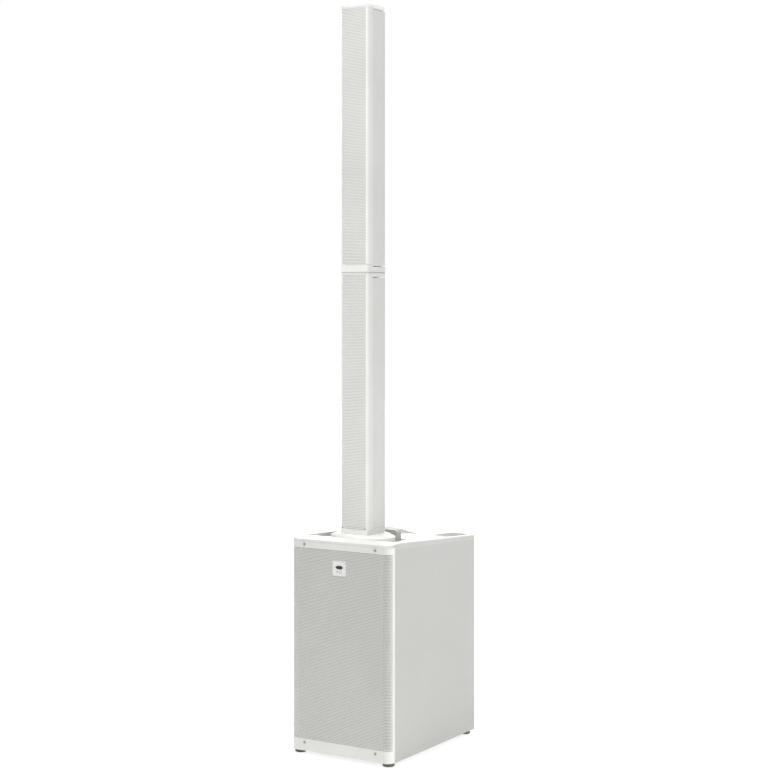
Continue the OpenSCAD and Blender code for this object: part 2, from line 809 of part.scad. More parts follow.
// The opening for a spigot through a cap
module spigot_hole(z0, z1, add) {
    translate([0, col_y, z0]) block(spigot_w + 2 * add, spigot_d + 2 * add, z1 - z0, 3);
}

module housing(z0, z1) {
    color("gainsboro") translate([0, 0, z0]) linear_extrude(z1 - z0) difference() {
        column_plan(0);
        column_plan(housing_t);
        translate([-col_w, col_f - eps]) square([2 * col_w, shell_d + eps]);
    }
}

module module_grille(z0, z1, screws_z) {
    color("white") difference() {
        translate([0, 0, z0]) linear_extrude(z1 - z0) intersection() {
            difference() {
                column_plan(0);
                column_plan(mesh_t);
            }
            translate([-col_w, col_f - eps]) square([2 * col_w, shell_d + eps - 0.4]);
        }
        for (x = [-front_screw_x, front_screw_x], z = screws_z) facing_front(x, col_f + 3, z)
            cylinder(h = 5, r = 2.7);
    }
}

module module_foam(z0, z1) {
    color("#3a3a3a") translate([-col_w / 2 + 6, col_f + mesh_t + gap, z0])
        cube([col_w - 12, foam_t, z1 - z0]);
}

function driver_z(i, z0, z1) = z0 + (z1 - z0) * (i + 0.5) / driver_count;

module each_driver(z0, z1) {
    for (i = [0 : driver_count - 1]) facing_front(0, drv_baffle_y, driver_z(i, z0, z1)) children();
}

module module_baffle(z0, z1) {
    color("#2c2c2c") difference() {
        translate([-col_w / 2 + housing_t + 1, drv_baffle_y, z0])
            cube([col_w - 2 * housing_t - 2, drv_baffle_t, z1 - z0]);
        each_driver(z0, z1) translate([0, 0, -drv_baffle_t - eps])
            cylinder(h = drv_baffle_t + 2 * eps, r = drv_r - 3, $fn = 48);
    }
}

module driver_frames(z0, z1) {
    color("#1e1e1e") each_driver(z0, z1) rotate_extrude($fn = 48)
        polygon([[drv_r - 5, 2], [drv_r, 2], [drv_r, 0], [drv_r - 3.2, 0], [16, -drv_depth + 2],
            [16, -drv_depth], [10, -drv_depth], [10, -drv_depth + 2], [14, -drv_depth + 2],
            [drv_r - 5, 0]]);
}

module driver_magnets(z0, z1) {
    color("#6a6a6a") each_driver(z0, z1) rotate_extrude($fn = 48)
        polygon([[10, -drv_depth], [drv_mag_r, -drv_depth], [drv_mag_r, -drv_depth - drv_mag_h],
            [0, -drv_depth - drv_mag_h], [0, -drv_depth], [6, -drv_depth],
            [6, -drv_depth - drv_mag_h + 4], [10, -drv_depth - drv_mag_h + 4]]);
}

module driver_cones(z0, z1) {
    color("#303030") each_driver(z0, z1) rotate_extrude($fn = 48)
        polygon([[drv_r - 6, 0], [drv_r - 6, 1], [9, -15], [0, -12], [0, -13], [7.4, -16.6],
            [7.4, -33], [8.6, -33], [8.6, -16.6]]);
}

module wires(z0, z1) {
    color("#8a1f1f") for (i = [0 : 3]) translate([-24 + 16 * i, col_y + col_d / 2 - housing_t - 6, z0])
        cylinder(h = z1 - z0, r = 1.4, $fn = 24);
}

module plug(z0, z_cap, z1) {
    color("#242424") difference() {
        union() {
            translate([0, col_y, z0]) block(spigot_w, spigot_d, z1 - z0, 3);
            translate([0, col_y, z_cap]) block(plug_flange_w, plug_flange_d, plug_flange, 4);
        }
        translate([0, col_y, z0 - eps]) contact_grid()
            cylinder(h = contact_h + 8, r = contact_r + 0.6);
    }
}

module rear_screws(z_list) {
    for (x = [-rear_screw_x, rear_screw_x], z = z_list) facing_rear(x, col_y + col_d / 2 - 0.1, z)
        screw(3, 1.4, 1.4, 7);
}

// ---------------------------------------------------------------- lower module

lower_rear_z = col_base + cap_foot_side + rear_screw_in;

module lower_foot_cap() {
    color("white") difference() {
        union() {
            cap(col_base, col_base + cap_foot);
            // a low wall that closes the housing's foot
            translate([0, 0, col_base + cap_foot]) linear_extrude(cap_foot_side - cap_foot) difference() {
                plan_behind_shell(0);
                column_plan(housing_t);
            }
            screw_blocks(col_base + cap_foot, lower_rear_z + 6);
        }
        spigot_hole(col_base - eps, col_base + cap_foot + eps, gap);
        screw_block_holes(lower_rear_z);
    }
}

module lower_spigot_plug() {
    plug(col_base - lower_spigot, col_base + cap_foot, col_base + cap_foot + plug_flange);
}

module lower_housing() {
    difference() {
        housing(col_base + cap_foot_side + gap, joint_z - cap_top_side - shadow);
        housing_holes([lower_rear_z]);
    }
}

module lower_grille() {
    module_grille(col_base + cap_foot + 0.5, joint_z - cap_top - 0.5,
        [col_base + cap_foot + front_screw_up]);
}

module lower_foam() {
    module_foam(col_base + cap_foot + 12, joint_z - cap_top - 3);
}

module lower_baffle() {
    module_baffle(lower_in0, lower_in1);
}

module lower_driver_frames() {
    driver_frames(lower_in0, lower_in1);
}

module lower_driver_magnets() {
    driver_magnets(lower_in0, lower_in1);
}

module lower_cones() {
    driver_cones(lower_in0, lower_in1);
}

module lower_top_cap() {
    color("white") difference() {
        union() {
            cap_behind_grille(joint_z - cap_top_side, joint_z - cap_top);
            cap(joint_z - cap_top, joint_z - 1.2);
            translate([0, 0, joint_z - 1.2]) linear_extrude(1.2) column_plan(1);
            translate([0, col_y, joint_z - upper_spigot - 9])
                block(socket_w - 6, socket_d - 6, upper_spigot, 4);
        }
        spigot_hole(joint_z - upper_spigot - 3, joint_z + eps, slide_gap);
        translate([0, col_y, joint_z - upper_spigot - 9 - eps]) contact_grid()
            cylinder(h = 6 + 2 * eps, r = contact_r);
    }
    contact_pins(joint_z - upper_spigot - 3);
}

module lower_wiring() {
    wires(col_base + cap_foot + plug_flange + 14, joint_z - cap_top_side - 2);
}

module lower_screws() {
    color("#505050") {
        for (x = [-front_screw_x, front_screw_x])
            facing_front(x, col_f - 0.4, col_base + cap_foot + front_screw_up) screw(2.5, 1.2, 1.2, 4);
        rear_screws([lower_rear_z]);
    }
}

// ---------------------------------------------------------------- upper module

upper_rear_z = [joint_z + cap_bottom_side + rear_screw_in, col_top - cap_end_side - rear_screw_in];

module upper_bottom_cap() {
    color("white") difference() {
        union() {
            cap(joint_z, joint_z + cap_bottom_side);
            translate([0, 0, joint_z + cap_bottom_side])
                linear_extrude(cap_bottom - cap_bottom_side) intersection() {
                    column_plan(0);
                    translate([-col_w, col_f - eps]) square([2 * col_w, shell_d + eps]);
                }
            screw_blocks(joint_z + cap_bottom_side, upper_rear_z[0] + 6);
        }
        spigot_hole(joint_z - eps, joint_z + cap_bottom + eps, gap);
        screw_block_holes(upper_rear_z[0]);
    }
}

module upper_spigot_plug() {
    plug(joint_z - upper_spigot, joint_z + cap_bottom, joint_z + cap_bottom + plug_flange);
}

module upper_housing() {
    difference() {
        housing(joint_z + cap_bottom_side + shadow, col_top - cap_end_side - shadow);
        housing_holes(upper_rear_z);
    }
}

module upper_grille() {
    module_grille(joint_z + cap_bottom + 0.5, col_top - cap_end - 0.5, []);
}

module upper_foam() {
    module_foam(joint_z + cap_bottom + 3, col_top - cap_end - 3);
}

module upper_baffle() {
    module_baffle(upper_in0, upper_in1);
}

module upper_driver_frames() {
    driver_frames(upper_in0, upper_in1);
}

module upper_driver_magnets() {
    driver_magnets(upper_in0, upper_in1);
}

module upper_cones() {
    driver_cones(upper_in0, upper_in1);
}

module upper_top_cap() {
    color("white") difference() {
        union() {
            cap_behind_grille(col_top - cap_end_side, col_top - cap_end, cap_in);
            cap(col_top - cap_end, col_top - 1.5, cap_in);
            cap(col_top - 1.5, col_top, cap_in + 1);
            screw_blocks(upper_rear_z[1] - 6, col_top - cap_end_side);
        }
        screw_block_holes(upper_rear_z[1]);
    }
}

module upper_wiring() {
    wires(joint_z + cap_bottom + plug_flange + 14, col_top - 60);
}

module upper_screws() {
    color("#505050") rear_screws(upper_rear_z);
}

// ---------------------------------------------------------------- every node

cabinet_shell();
front_baffle();
port_tubes();
woofer_frame();
woofer_magnet();
woofer_surround();
woofer_cone();
sub_grille();
sub_grille_foam();
grille_screws();
badge_plate();
top_cover();
carry_handle();
column_socket();
socket_contacts();
rubber_feet();
foot_screws();
rear_panel();
rear_panel_screws();
heat_sink();
amplifier_board();
mains_inlet();
combo_jacks();
link_output();
switch_frame();
power_rocker();
input_knob_a();
input_knob_b();
sub_knob();
master_knob();
potentiometers();
mode_button();
pairing_button();
jack_latch_a();
jack_latch_b();
status_lights();
lower_foot_cap();
lower_spigot_plug();
lower_housing();
lower_grille();
lower_foam();
lower_baffle();
lower_driver_frames();
lower_driver_magnets();
lower_cones();
lower_top_cap();
lower_wiring();
lower_screws();
upper_bottom_cap();
upper_spigot_plug();
upper_housing();
upper_grille();
upper_foam();
upper_baffle();
upper_driver_frames();
upper_driver_magnets();
upper_cones();
upper_top_cap();
upper_wiring();
upper_screws();
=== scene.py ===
"""Looks of the column PA system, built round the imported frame. Metres, +Z up, the front faces -Y."""

import json
import math

import bmesh
import bpy
import numpy as np
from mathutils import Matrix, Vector


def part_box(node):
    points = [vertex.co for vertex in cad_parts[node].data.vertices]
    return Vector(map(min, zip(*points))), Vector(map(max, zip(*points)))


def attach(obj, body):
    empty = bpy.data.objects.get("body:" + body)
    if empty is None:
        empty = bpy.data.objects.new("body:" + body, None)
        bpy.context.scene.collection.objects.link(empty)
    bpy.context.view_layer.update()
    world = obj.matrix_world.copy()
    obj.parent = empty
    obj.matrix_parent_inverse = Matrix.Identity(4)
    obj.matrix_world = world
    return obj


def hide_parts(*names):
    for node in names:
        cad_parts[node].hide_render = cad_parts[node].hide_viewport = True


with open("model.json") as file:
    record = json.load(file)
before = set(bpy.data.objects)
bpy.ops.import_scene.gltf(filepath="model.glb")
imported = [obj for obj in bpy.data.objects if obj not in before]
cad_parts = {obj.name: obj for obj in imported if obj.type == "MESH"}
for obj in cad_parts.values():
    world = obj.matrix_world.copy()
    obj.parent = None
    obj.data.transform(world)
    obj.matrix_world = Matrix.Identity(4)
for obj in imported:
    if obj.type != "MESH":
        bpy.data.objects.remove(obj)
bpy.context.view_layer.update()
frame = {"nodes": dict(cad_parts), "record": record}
scene = bpy.context.scene
BASE, LOWER, UPPER = "subwoofer_base", "lower_column", "upper_column"
MM = 0.001

# ---------------------------------------------------------------- node materials


def new_material(name, colour, roughness, metallic=0.0):
    """A Principled material with its uniform values on the shader's own sockets."""
    mat = bpy.data.materials.new(name)
    mat.use_nodes = True
    shader = mat.node_tree.nodes["Principled BSDF"]
    shader.inputs["Base Color"].default_value = (*colour, 1)
    shader.inputs["Roughness"].default_value = roughness
    shader.inputs["Metallic"].default_value = metallic
    return mat, mat.node_tree, shader


def place(tree):
    """The piece's own coordinates in metres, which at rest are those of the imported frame."""
    return tree.nodes.new("ShaderNodeTexCoord").outputs["Object"]


def noise(tree, where, scale, detail=4.0, rough=0.55, stretch=None):
    """A noise texture's Fac. scale is in cycles a metre; stretch scales each axis first."""
    if stretch:
        mapping = tree.nodes.new("ShaderNodeMapping")
        mapping.inputs["Scale"].default_value = stretch
        tree.links.new(where, mapping.inputs["Vector"])
        where = mapping.outputs["Vector"]
    node = tree.nodes.new("ShaderNodeTexNoise")
    node.inputs["Scale"].default_value = scale
    node.inputs["Detail"].default_value = detail
    node.inputs["Roughness"].default_value = rough
    tree.links.new(where, node.inputs["Vector"])
    return node.outputs["Fac"]


def ramp(tree, fac, stops):
    """A colour ramp of (position, colour or grey) stops."""
    node = tree.nodes.new("ShaderNodeValToRGB")
    points = node.color_ramp.elements
    while len(points) < len(stops):
        points.new(0.5)
    for point, (at, value) in zip(points, stops):
        point.position = at
        point.color = (*value, 1) if hasattr(value, "__len__") else (value, value, value, 1)
    tree.links.new(fac, node.inputs["Fac"])
    return node.outputs["Color"]


def mixed(tree, fac, a, b, blend="MIX"):
    """Colours a and b mixed by fac. Each may be a socket or a colour, and fac a socket or a number."""
    node = tree.nodes.new("ShaderNodeMix")
    node.data_type = "RGBA"
    node.blend_type = blend
    for value, key in ((fac, 0), (a, 6), (b, 7)):
        if isinstance(value, bpy.types.NodeSocket):
            tree.links.new(value, node.inputs[key])
        else:
            node.inputs[key].default_value = (*value, 1) if hasattr(value, "__len__") else value
    return node.outputs[2]


def bump(tree, shader, layers):
    """Chains bumps of (height socket, depth in metres) and links them to the normal."""
    last = None
    for height, depth in layers:
        node = tree.nodes.new("ShaderNodeBump")
        node.inputs["Strength"].default_value = 1.0
        node.inputs["Distance"].default_value = depth
        tree.links.new(height, node.inputs["Height"])
        if last:
            tree.links.new(last, node.inputs["Normal"])
        last = node.outputs["Normal"]
    tree.links.new(last, shader.inputs["Normal"])


def shade(colour, factor):
    """A colour made lighter or darker."""
    return tuple(min(1.0, c * factor) for c in colour)


def calc(tree, operation, a, b=0.0, c=0.0):
    """One Math node. Each operand may be a socket or a number."""
    node = tree.nodes.new("ShaderNodeMath")
    node.operation = operation
    for value, key in zip((a, b, c), node.inputs):
        if isinstance(value, bpy.types.NodeSocket):
            tree.links.new(value, key)
        else:
            key.default_value = value
    return node.outputs["Value"]


def axes(tree, where):
    """The X, Y and Z sockets of a vector."""
    node = tree.nodes.new("ShaderNodeSeparateXYZ")
    tree.links.new(where, node.inputs["Vector"])
    return node.outputs["X"], node.outputs["Y"], node.outputs["Z"]


def edges(tree, radius):
    """1 along the sharp edges of a piece, where its normal and one rounded over radius differ, and 0
    on its open faces."""
    soft = tree.nodes.new("ShaderNodeBevel")
    soft.samples = 4
    soft.inputs["Radius"].default_value = radius
    turn = tree.nodes.new("ShaderNodeVectorMath")
    turn.operation = "DOT_PRODUCT"
    tree.links.new(soft.outputs["Normal"], turn.inputs[0])
    tree.links.new(tree.nodes.new("ShaderNodeNewGeometry").outputs["Normal"], turn.inputs[1])
    return ramp(tree, turn.outputs["Value"], [(0.86, 1.0), (0.985, 0.0)])


def tinted(mat, fac, colour, blend="MULTIPLY"):
    """Blends a colour over a finished material where fac is 1."""
    tree = mat.node_tree
    base = tree.nodes["Principled BSDF"].inputs["Base Color"]
    before = base.links[0].from_socket
    tree.links.new(mixed(tree, fac, before, colour, blend), base)
    return mat


def worn(mat, colour, radius, amount):
    """Rubs a material along its edges, in patches, to a given colour."""
    tree = mat.node_tree
    patches = ramp(tree, noise(tree, place(tree), 60, 4, 0.7), [(0.35, 0.15), (0.6, 1.0)])
    rubbed = calc(tree, "MULTIPLY", edges(tree, radius), patches)
    return tinted(mat, calc(tree, "MULTIPLY", rubbed, amount), colour, "MIX")


def coated(name, colour, roughness, grain, depth, vary=0.03):
    """Paint or moulded plastic: a grain of its own scale (cycles a metre) and depth (metres), faint
    clouds of tone, and a gloss that varies with the grain. vary is how far the tone goes."""
    mat, tree, shader = new_material(name, colour, roughness)
    where = place(tree)
    cloud = noise(tree, where, 7, 3)
    fine = noise(tree, where, grain, 3, 0.6)
    tone = ramp(tree, cloud, [(0.3, shade(colour, 1 - vary)), (0.7, shade(colour, 1 + vary / 2))])
    spots = ramp(tree, fine, [(0.25, 1 - 2 * vary), (0.6, 1.0)])
    tree.links.new(mixed(tree, 0.6, tone, spots, "MULTIPLY"), shader.inputs["Base Color"])
    gloss = ramp(tree, fine, [(0.3, max(0.02, roughness - 0.07)), (0.75, min(1, roughness + 0.08))])
    tree.links.new(gloss, shader.inputs["Roughness"])
    bump(tree, shader, [(fine, depth)])
    return mat


def pebbled(name, colour):
    """The cabinet's rolled paint: rounded pebbles about 1.5 mm across over finer ones, and the hollows
    between the pebbles a little darker."""
    mat, tree, shader = new_material(name, colour, 0.5)
    where = place(tree)
    cells = tree.nodes.new("ShaderNodeTexVoronoi")
    cells.feature = "SMOOTH_F1"
    cells.inputs["Scale"].default_value = 620
    cells.inputs["Smoothness"].default_value = 0.6
    tree.links.new(where, cells.inputs["Vector"])
    fine = noise(tree, where, 1500, 2)
    cloud = noise(tree, where, 5, 3)
    tone = ramp(tree, cloud, [(0.3, shade(colour, 0.98)), (0.7, shade(colour, 1.01))])
    hollows = ramp(tree, cells.outputs["Distance"], [(0.15, 1.0), (0.85, 0.9)])
    tree.links.new(mixed(tree, 1.0, tone, hollows, "MULTIPLY"), shader.inputs["Base Color"])
    tree.links.new(ramp(tree, fine, [(0.3, 0.42), (0.7, 0.6)]), shader.inputs["Roughness"])
    dome = ramp(tree, cells.outputs["Distance"], [(0.0, 1.0), (0.9, 0.0)])
    bump(tree, shader, [(dome, 0.00022), (fine, 0.00005)])
    return mat


def brushed(name, colour, roughness, stretch):
    """Bare metal with fine streaks along the axis that stretch leaves long."""
    mat, tree, shader = new_material(name, colour, roughness, 1.0)
    where = place(tree)
    streaks = noise(tree, where, 300, 3, 0.6, stretch)
    tone = ramp(tree, streaks, [(0.3, shade(colour, 0.86)), (0.7, shade(colour, 1.08))])
    tree.links.new(tone, shader.inputs["Base Color"])
    tree.links.new(ramp(tree, streaks, [(0.3, roughness * 0.75), (0.7, roughness * 1.3)]),
                   shader.inputs["Roughness"])
    bump(tree, shader, [(streaks, 0.00002)])
    return mat


def foam(name, colour):
    """Open-cell foam: deep irregular cells."""
    mat, tree, shader = new_material(name, colour, 0.95)
    where = place(tree)
    cells = tree.nodes.new("ShaderNodeTexVoronoi")
    cells.inputs["Scale"].default_value = 900
    tree.links.new(where, cells.inputs["Vector"])
    tone = ramp(tree, cells.outputs["Distance"], [(0.1, shade(colour, 0.55)), (0.7, colour)])
    tree.links.new(tone, shader.inputs["Base Color"])
    bump(tree, shader, [(cells.outputs["Distance"], 0.0006)])
    return mat


def fibre(name, colour):
    """Pressed paper pulp of a loudspeaker cone: long faint fibres."""
    mat, tree, shader = new_material(name, colour, 0.7)
    where = place(tree)
    strands = noise(tree, where, 500, 5, 0.7, (1, 1, 0.25))
    tone = ramp(tree, strands, [(0.3, shade(colour, 0.6)), (0.75, shade(colour, 1.7))])
    tree.links.new(tone, shader.inputs["Base Color"])
    bump(tree, shader, [(strands, 0.0002)])
    return mat


def behind_face(tree, node, reach, stops):
    """A ramp over the distance behind a node's front, whose position 1 is reach metres back."""
    y = axes(tree, place(tree))[1]
    back = calc(tree, "SUBTRACT", y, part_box(node)[0].y)
    return ramp(tree, calc(tree, "DIVIDE", back, reach), stops)


def steel_with_painted_bend_highlight(name, colour, node):
    """Painted steel with a painted highlight round the bend at its sides, where the curve catches the
    light.
    """
    mat = coated(name, colour, 0.22, 1300, 0.00004)
    # painted highlight: the bend lighter from under a millimetre to about 14 mm behind the front
    bend = behind_face(mat.node_tree, node, 16 * MM, [(0.05, 0.0), (0.3, 0.4), (0.9, 1.0)])
    return tinted(mat, bend, shade(colour, 1.28), "MIX")


def painted_side_shade(mat):
    """The column's white parts with painted shade along their sides, darker from the front corners back.
    """
    # painted shade down the sides, which also dims the highlight at the front corners
    side = behind_face(mat.node_tree, "lower_grille", 30 * MM, [(0.005, 0.0), (0.03, 0.35), (0.55, 1.0)])
    return tinted(mat, side, (0.84, 0.84, 0.84))


def painted_seam_shadow(mat):
    """A painted shadow in the seam where the two modules of the column meet, 1 mm to each side."""
    tree = mat.node_tree
    z = axes(tree, place(tree))[2]
    off = calc(tree, "ABSOLUTE", calc(tree, "SUBTRACT", z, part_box("upper_bottom_cap")[0].z))
    # painted shadow of the seam's gap: darker within 1 mm of it
    return tinted(mat, calc(tree, "LESS_THAN", off, 1 * MM), (0.6, 0.6, 0.6))


def cover_finish(name, colour):
    """The top cover: the cabinet's duller tone on its sides below the rim, and painted shade in the
    tray behind its front edge. The rim's sloping line is read from the cover's own side."""
    mat = coated(name, colour, 0.40, 1600, 0.00005)
    tree = mat.node_tree
    low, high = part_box("top_cover")
    # the rim's line runs from its highest point to its height near the back
    side = [v.co for v in frame["nodes"]["top_cover"].data.vertices if v.co.x > high.x - 0.5 * MM]
    crest = max(side, key=lambda v: v.z)
    heel = max((v for v in side if v.y > high.y - 20 * MM), key=lambda v: v.z)
    slope = (heel.z - crest.z) / (heel.y - crest.y)
    x, y, z = axes(tree, place(tree))
    line = calc(tree, "MULTIPLY_ADD", y, slope, crest.z - slope * crest.y)
    below = calc(tree, "SUBTRACT", line, z)
    out = calc(tree, "ABSOLUTE", x)
    sides = calc(tree, "MULTIPLY", calc(tree, "GREATER_THAN", out, high.x - 0.7 * MM),
                 calc(tree, "GREATER_THAN", below, 3.5 * MM))
    tinted(mat, sides, (0.88, 0.88, 0.88))
    # painted shade in the tray: darker inside the rim, from about a third of the way back to just short
    # of the rear
    inside = calc(tree, "MULTIPLY", calc(tree, "LESS_THAN", out, high.x - 6 * MM),
                  calc(tree, "GREATER_THAN", below, 1.0 * MM))
    back = behind_face(tree, "top_cover", high.y - low.y,
                       [(0.28, 0.0), (0.42, 1.0), (0.965, 1.0), (0.985, 0.0)])
    return tinted(mat, calc(tree, "MULTIPLY", inside, back), (0.80, 0.80, 0.80))


# the whites of the parts, as linear colours
WHITE = (0.90, 0.905, 0.875)
COVER_WHITE = (0.74, 0.745, 0.715)
MESH_WHITE = (0.73, 0.735, 0.705)
HANDLE_WHITE = (0.58, 0.585, 0.565)
COLUMN_WHITE = (0.95, 0.955, 0.925)

MATERIALS = {
    "cabinet_paint": pebbled("cabinet_paint", (0.638, 0.643, 0.618)),
    "baffle_board": coated("baffle_board", (0.05, 0.05, 0.05), 0.7, 900, 0.0002),
    "black_plastic": worn(coated("black_plastic", (0.03, 0.03, 0.032), 0.5, 1400, 0.00006),
                          (0.11, 0.11, 0.11), 0.8 * MM, 0.7),
    "frame_steel": coated("frame_steel", (0.04, 0.04, 0.042), 0.45, 1200, 0.00005),
    "magnet_ferrite": coated("magnet_ferrite", (0.10, 0.10, 0.11), 0.6, 700, 0.0001, vary=0.1),
    "black_rubber": worn(coated("black_rubber", (0.075, 0.075, 0.078), 0.62, 1100, 0.00012),
                         (0.16, 0.155, 0.15), 2 * MM, 0.8),
    "cone_black": fibre("cone_black", (0.05, 0.05, 0.055)),
    # the grille steel has a painted highlight round its bends; the column's mesh and caps have painted
    # shade down their sides, and the caps a painted seam shadow
    "grille_steel": steel_with_painted_bend_highlight("grille_steel", MESH_WHITE, "sub_grille"),
    "column_mesh": painted_side_shade(coated("column_mesh", COLUMN_WHITE, 0.26, 1300, 0.00004)),
    "cap_plastic": painted_seam_shadow(painted_side_shade(coated("cap_plastic", WHITE, 0.42, 1600, 0.00005))),
    "foot_rubber": worn(coated("foot_rubber", (0.17, 0.17, 0.165), 0.62, 1100, 0.00012),
                        (0.28, 0.275, 0.265), 2 * MM, 0.8),
    "acoustic_foam": foam("acoustic_foam", (0.30, 0.30, 0.29)),
    "column_foam": foam("column_foam", (0.42, 0.42, 0.405)),
    "cover_plastic": cover_finish("cover_plastic", COVER_WHITE),
    "handle_plastic": coated("handle_plastic", HANDLE_WHITE, 0.45, 1600, 0.00005),
    "screw_steel": brushed("screw_steel", (0.42, 0.42, 0.43), 0.35, (1, 1, 1)),
    "badge_metal": brushed("badge_metal", (0.86, 0.86, 0.85), 0.28, (1, 1, 9)),
    "white_plastic": coated("white_plastic", WHITE, 0.42, 1600, 0.00005),
    "contact_brass": brushed("contact_brass", (0.83, 0.62, 0.28), 0.25, (1, 1, 0.2)),
    "panel_metal": worn(coated("panel_metal", (0.045, 0.046, 0.05), 0.5, 1500, 0.00007),
                        (0.22, 0.22, 0.23), 0.8 * MM, 0.6),
    "heat_sink_aluminium": brushed("heat_sink_aluminium", (0.10, 0.105, 0.11), 0.42, (9, 1, 0.3)),
    "circuit_board": coated("circuit_board", (0.03, 0.16, 0.07), 0.35, 800, 0.00004),
    "rocker_red": coated("rocker_red", (0.50, 0.03, 0.02), 0.25, 1500, 0.00002),
    "knob_plastic": worn(coated("knob_plastic", (0.62, 0.62, 0.60), 0.45, 1500, 0.00005),
                         (0.80, 0.80, 0.78), 0.6 * MM, 0.6),
    "light_green": coated("light_green", (0.08, 0.60, 0.20), 0.15, 900, 0.00001),
    "column_aluminium": coated("column_aluminium", (0.74, 0.745, 0.72), 0.26, 1300, 0.00004),
    "wire_red": coated("wire_red", (0.35, 0.03, 0.03), 0.5, 900, 0.00003),
}
SLOT = {part["node"]: part["material_slot"] for part in frame["record"]["subparts"]}
# nodes whose finish differs a little from the rest of their slot; the column's white parts and the cover
# carry painted shade
SHADE = {"top_cover": "cover_plastic", "carry_handle": "handle_plastic", "lower_foam": "column_foam",
         "upper_foam": "column_foam", "lower_grille": "column_mesh", "upper_grille": "column_mesh",
         "rubber_feet": "foot_rubber", "lower_foot_cap": "cap_plastic", "lower_top_cap": "cap_plastic",
         "upper_bottom_cap": "cap_plastic"}

# ---------------------------------------------------------------- pieces


def finish_mesh(obj, slot_name, body, replaced=(), sharp=35):
    """Gives a new piece its material, shading and body, and hides the CAD nodes it stands for.
    sharp is the angle over which an edge stays sharp; None keeps the shading that the mesh has."""
    obj.data.materials.clear()
    finish = SHADE.get(replaced[0], slot_name) if replaced else slot_name
    obj.data.materials.append(MATERIALS[finish])
    if sharp:
        obj.data.polygons.foreach_set("use_smooth", [True] * len(obj.data.polygons))
        obj.data.set_sharp_from_angle(angle=math.radians(sharp))
    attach(obj, body)
    if replaced:
        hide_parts(*replaced)
    return obj


def object_from(name, verts, faces):
    """A new object in the scene, made of vertices and faces."""
    mesh = bpy.data.meshes.new(name)
    mesh.from_pydata([tuple(v) for v in verts], [], faces)
    mesh.update()
    obj = bpy.data.objects.new(name, mesh)
    scene.collection.objects.link(obj)
    return obj


# ---------------------------------------------------------------- perforated sheets

PITCH = 4.62 * MM         # between hole centres, in staggered rows
HOLE_R = 1.66 * MM        # radius of a hole over its corners
HOLE_MARGIN = 1.2 * MM    # plain steel between the outer holes and the field's sides
ROW_MARGIN = 1 * MM       # and between the outer rows and its ends
PLAIN_COLUMNS = 6         # columns of points in the plain steel beyond the field's sides


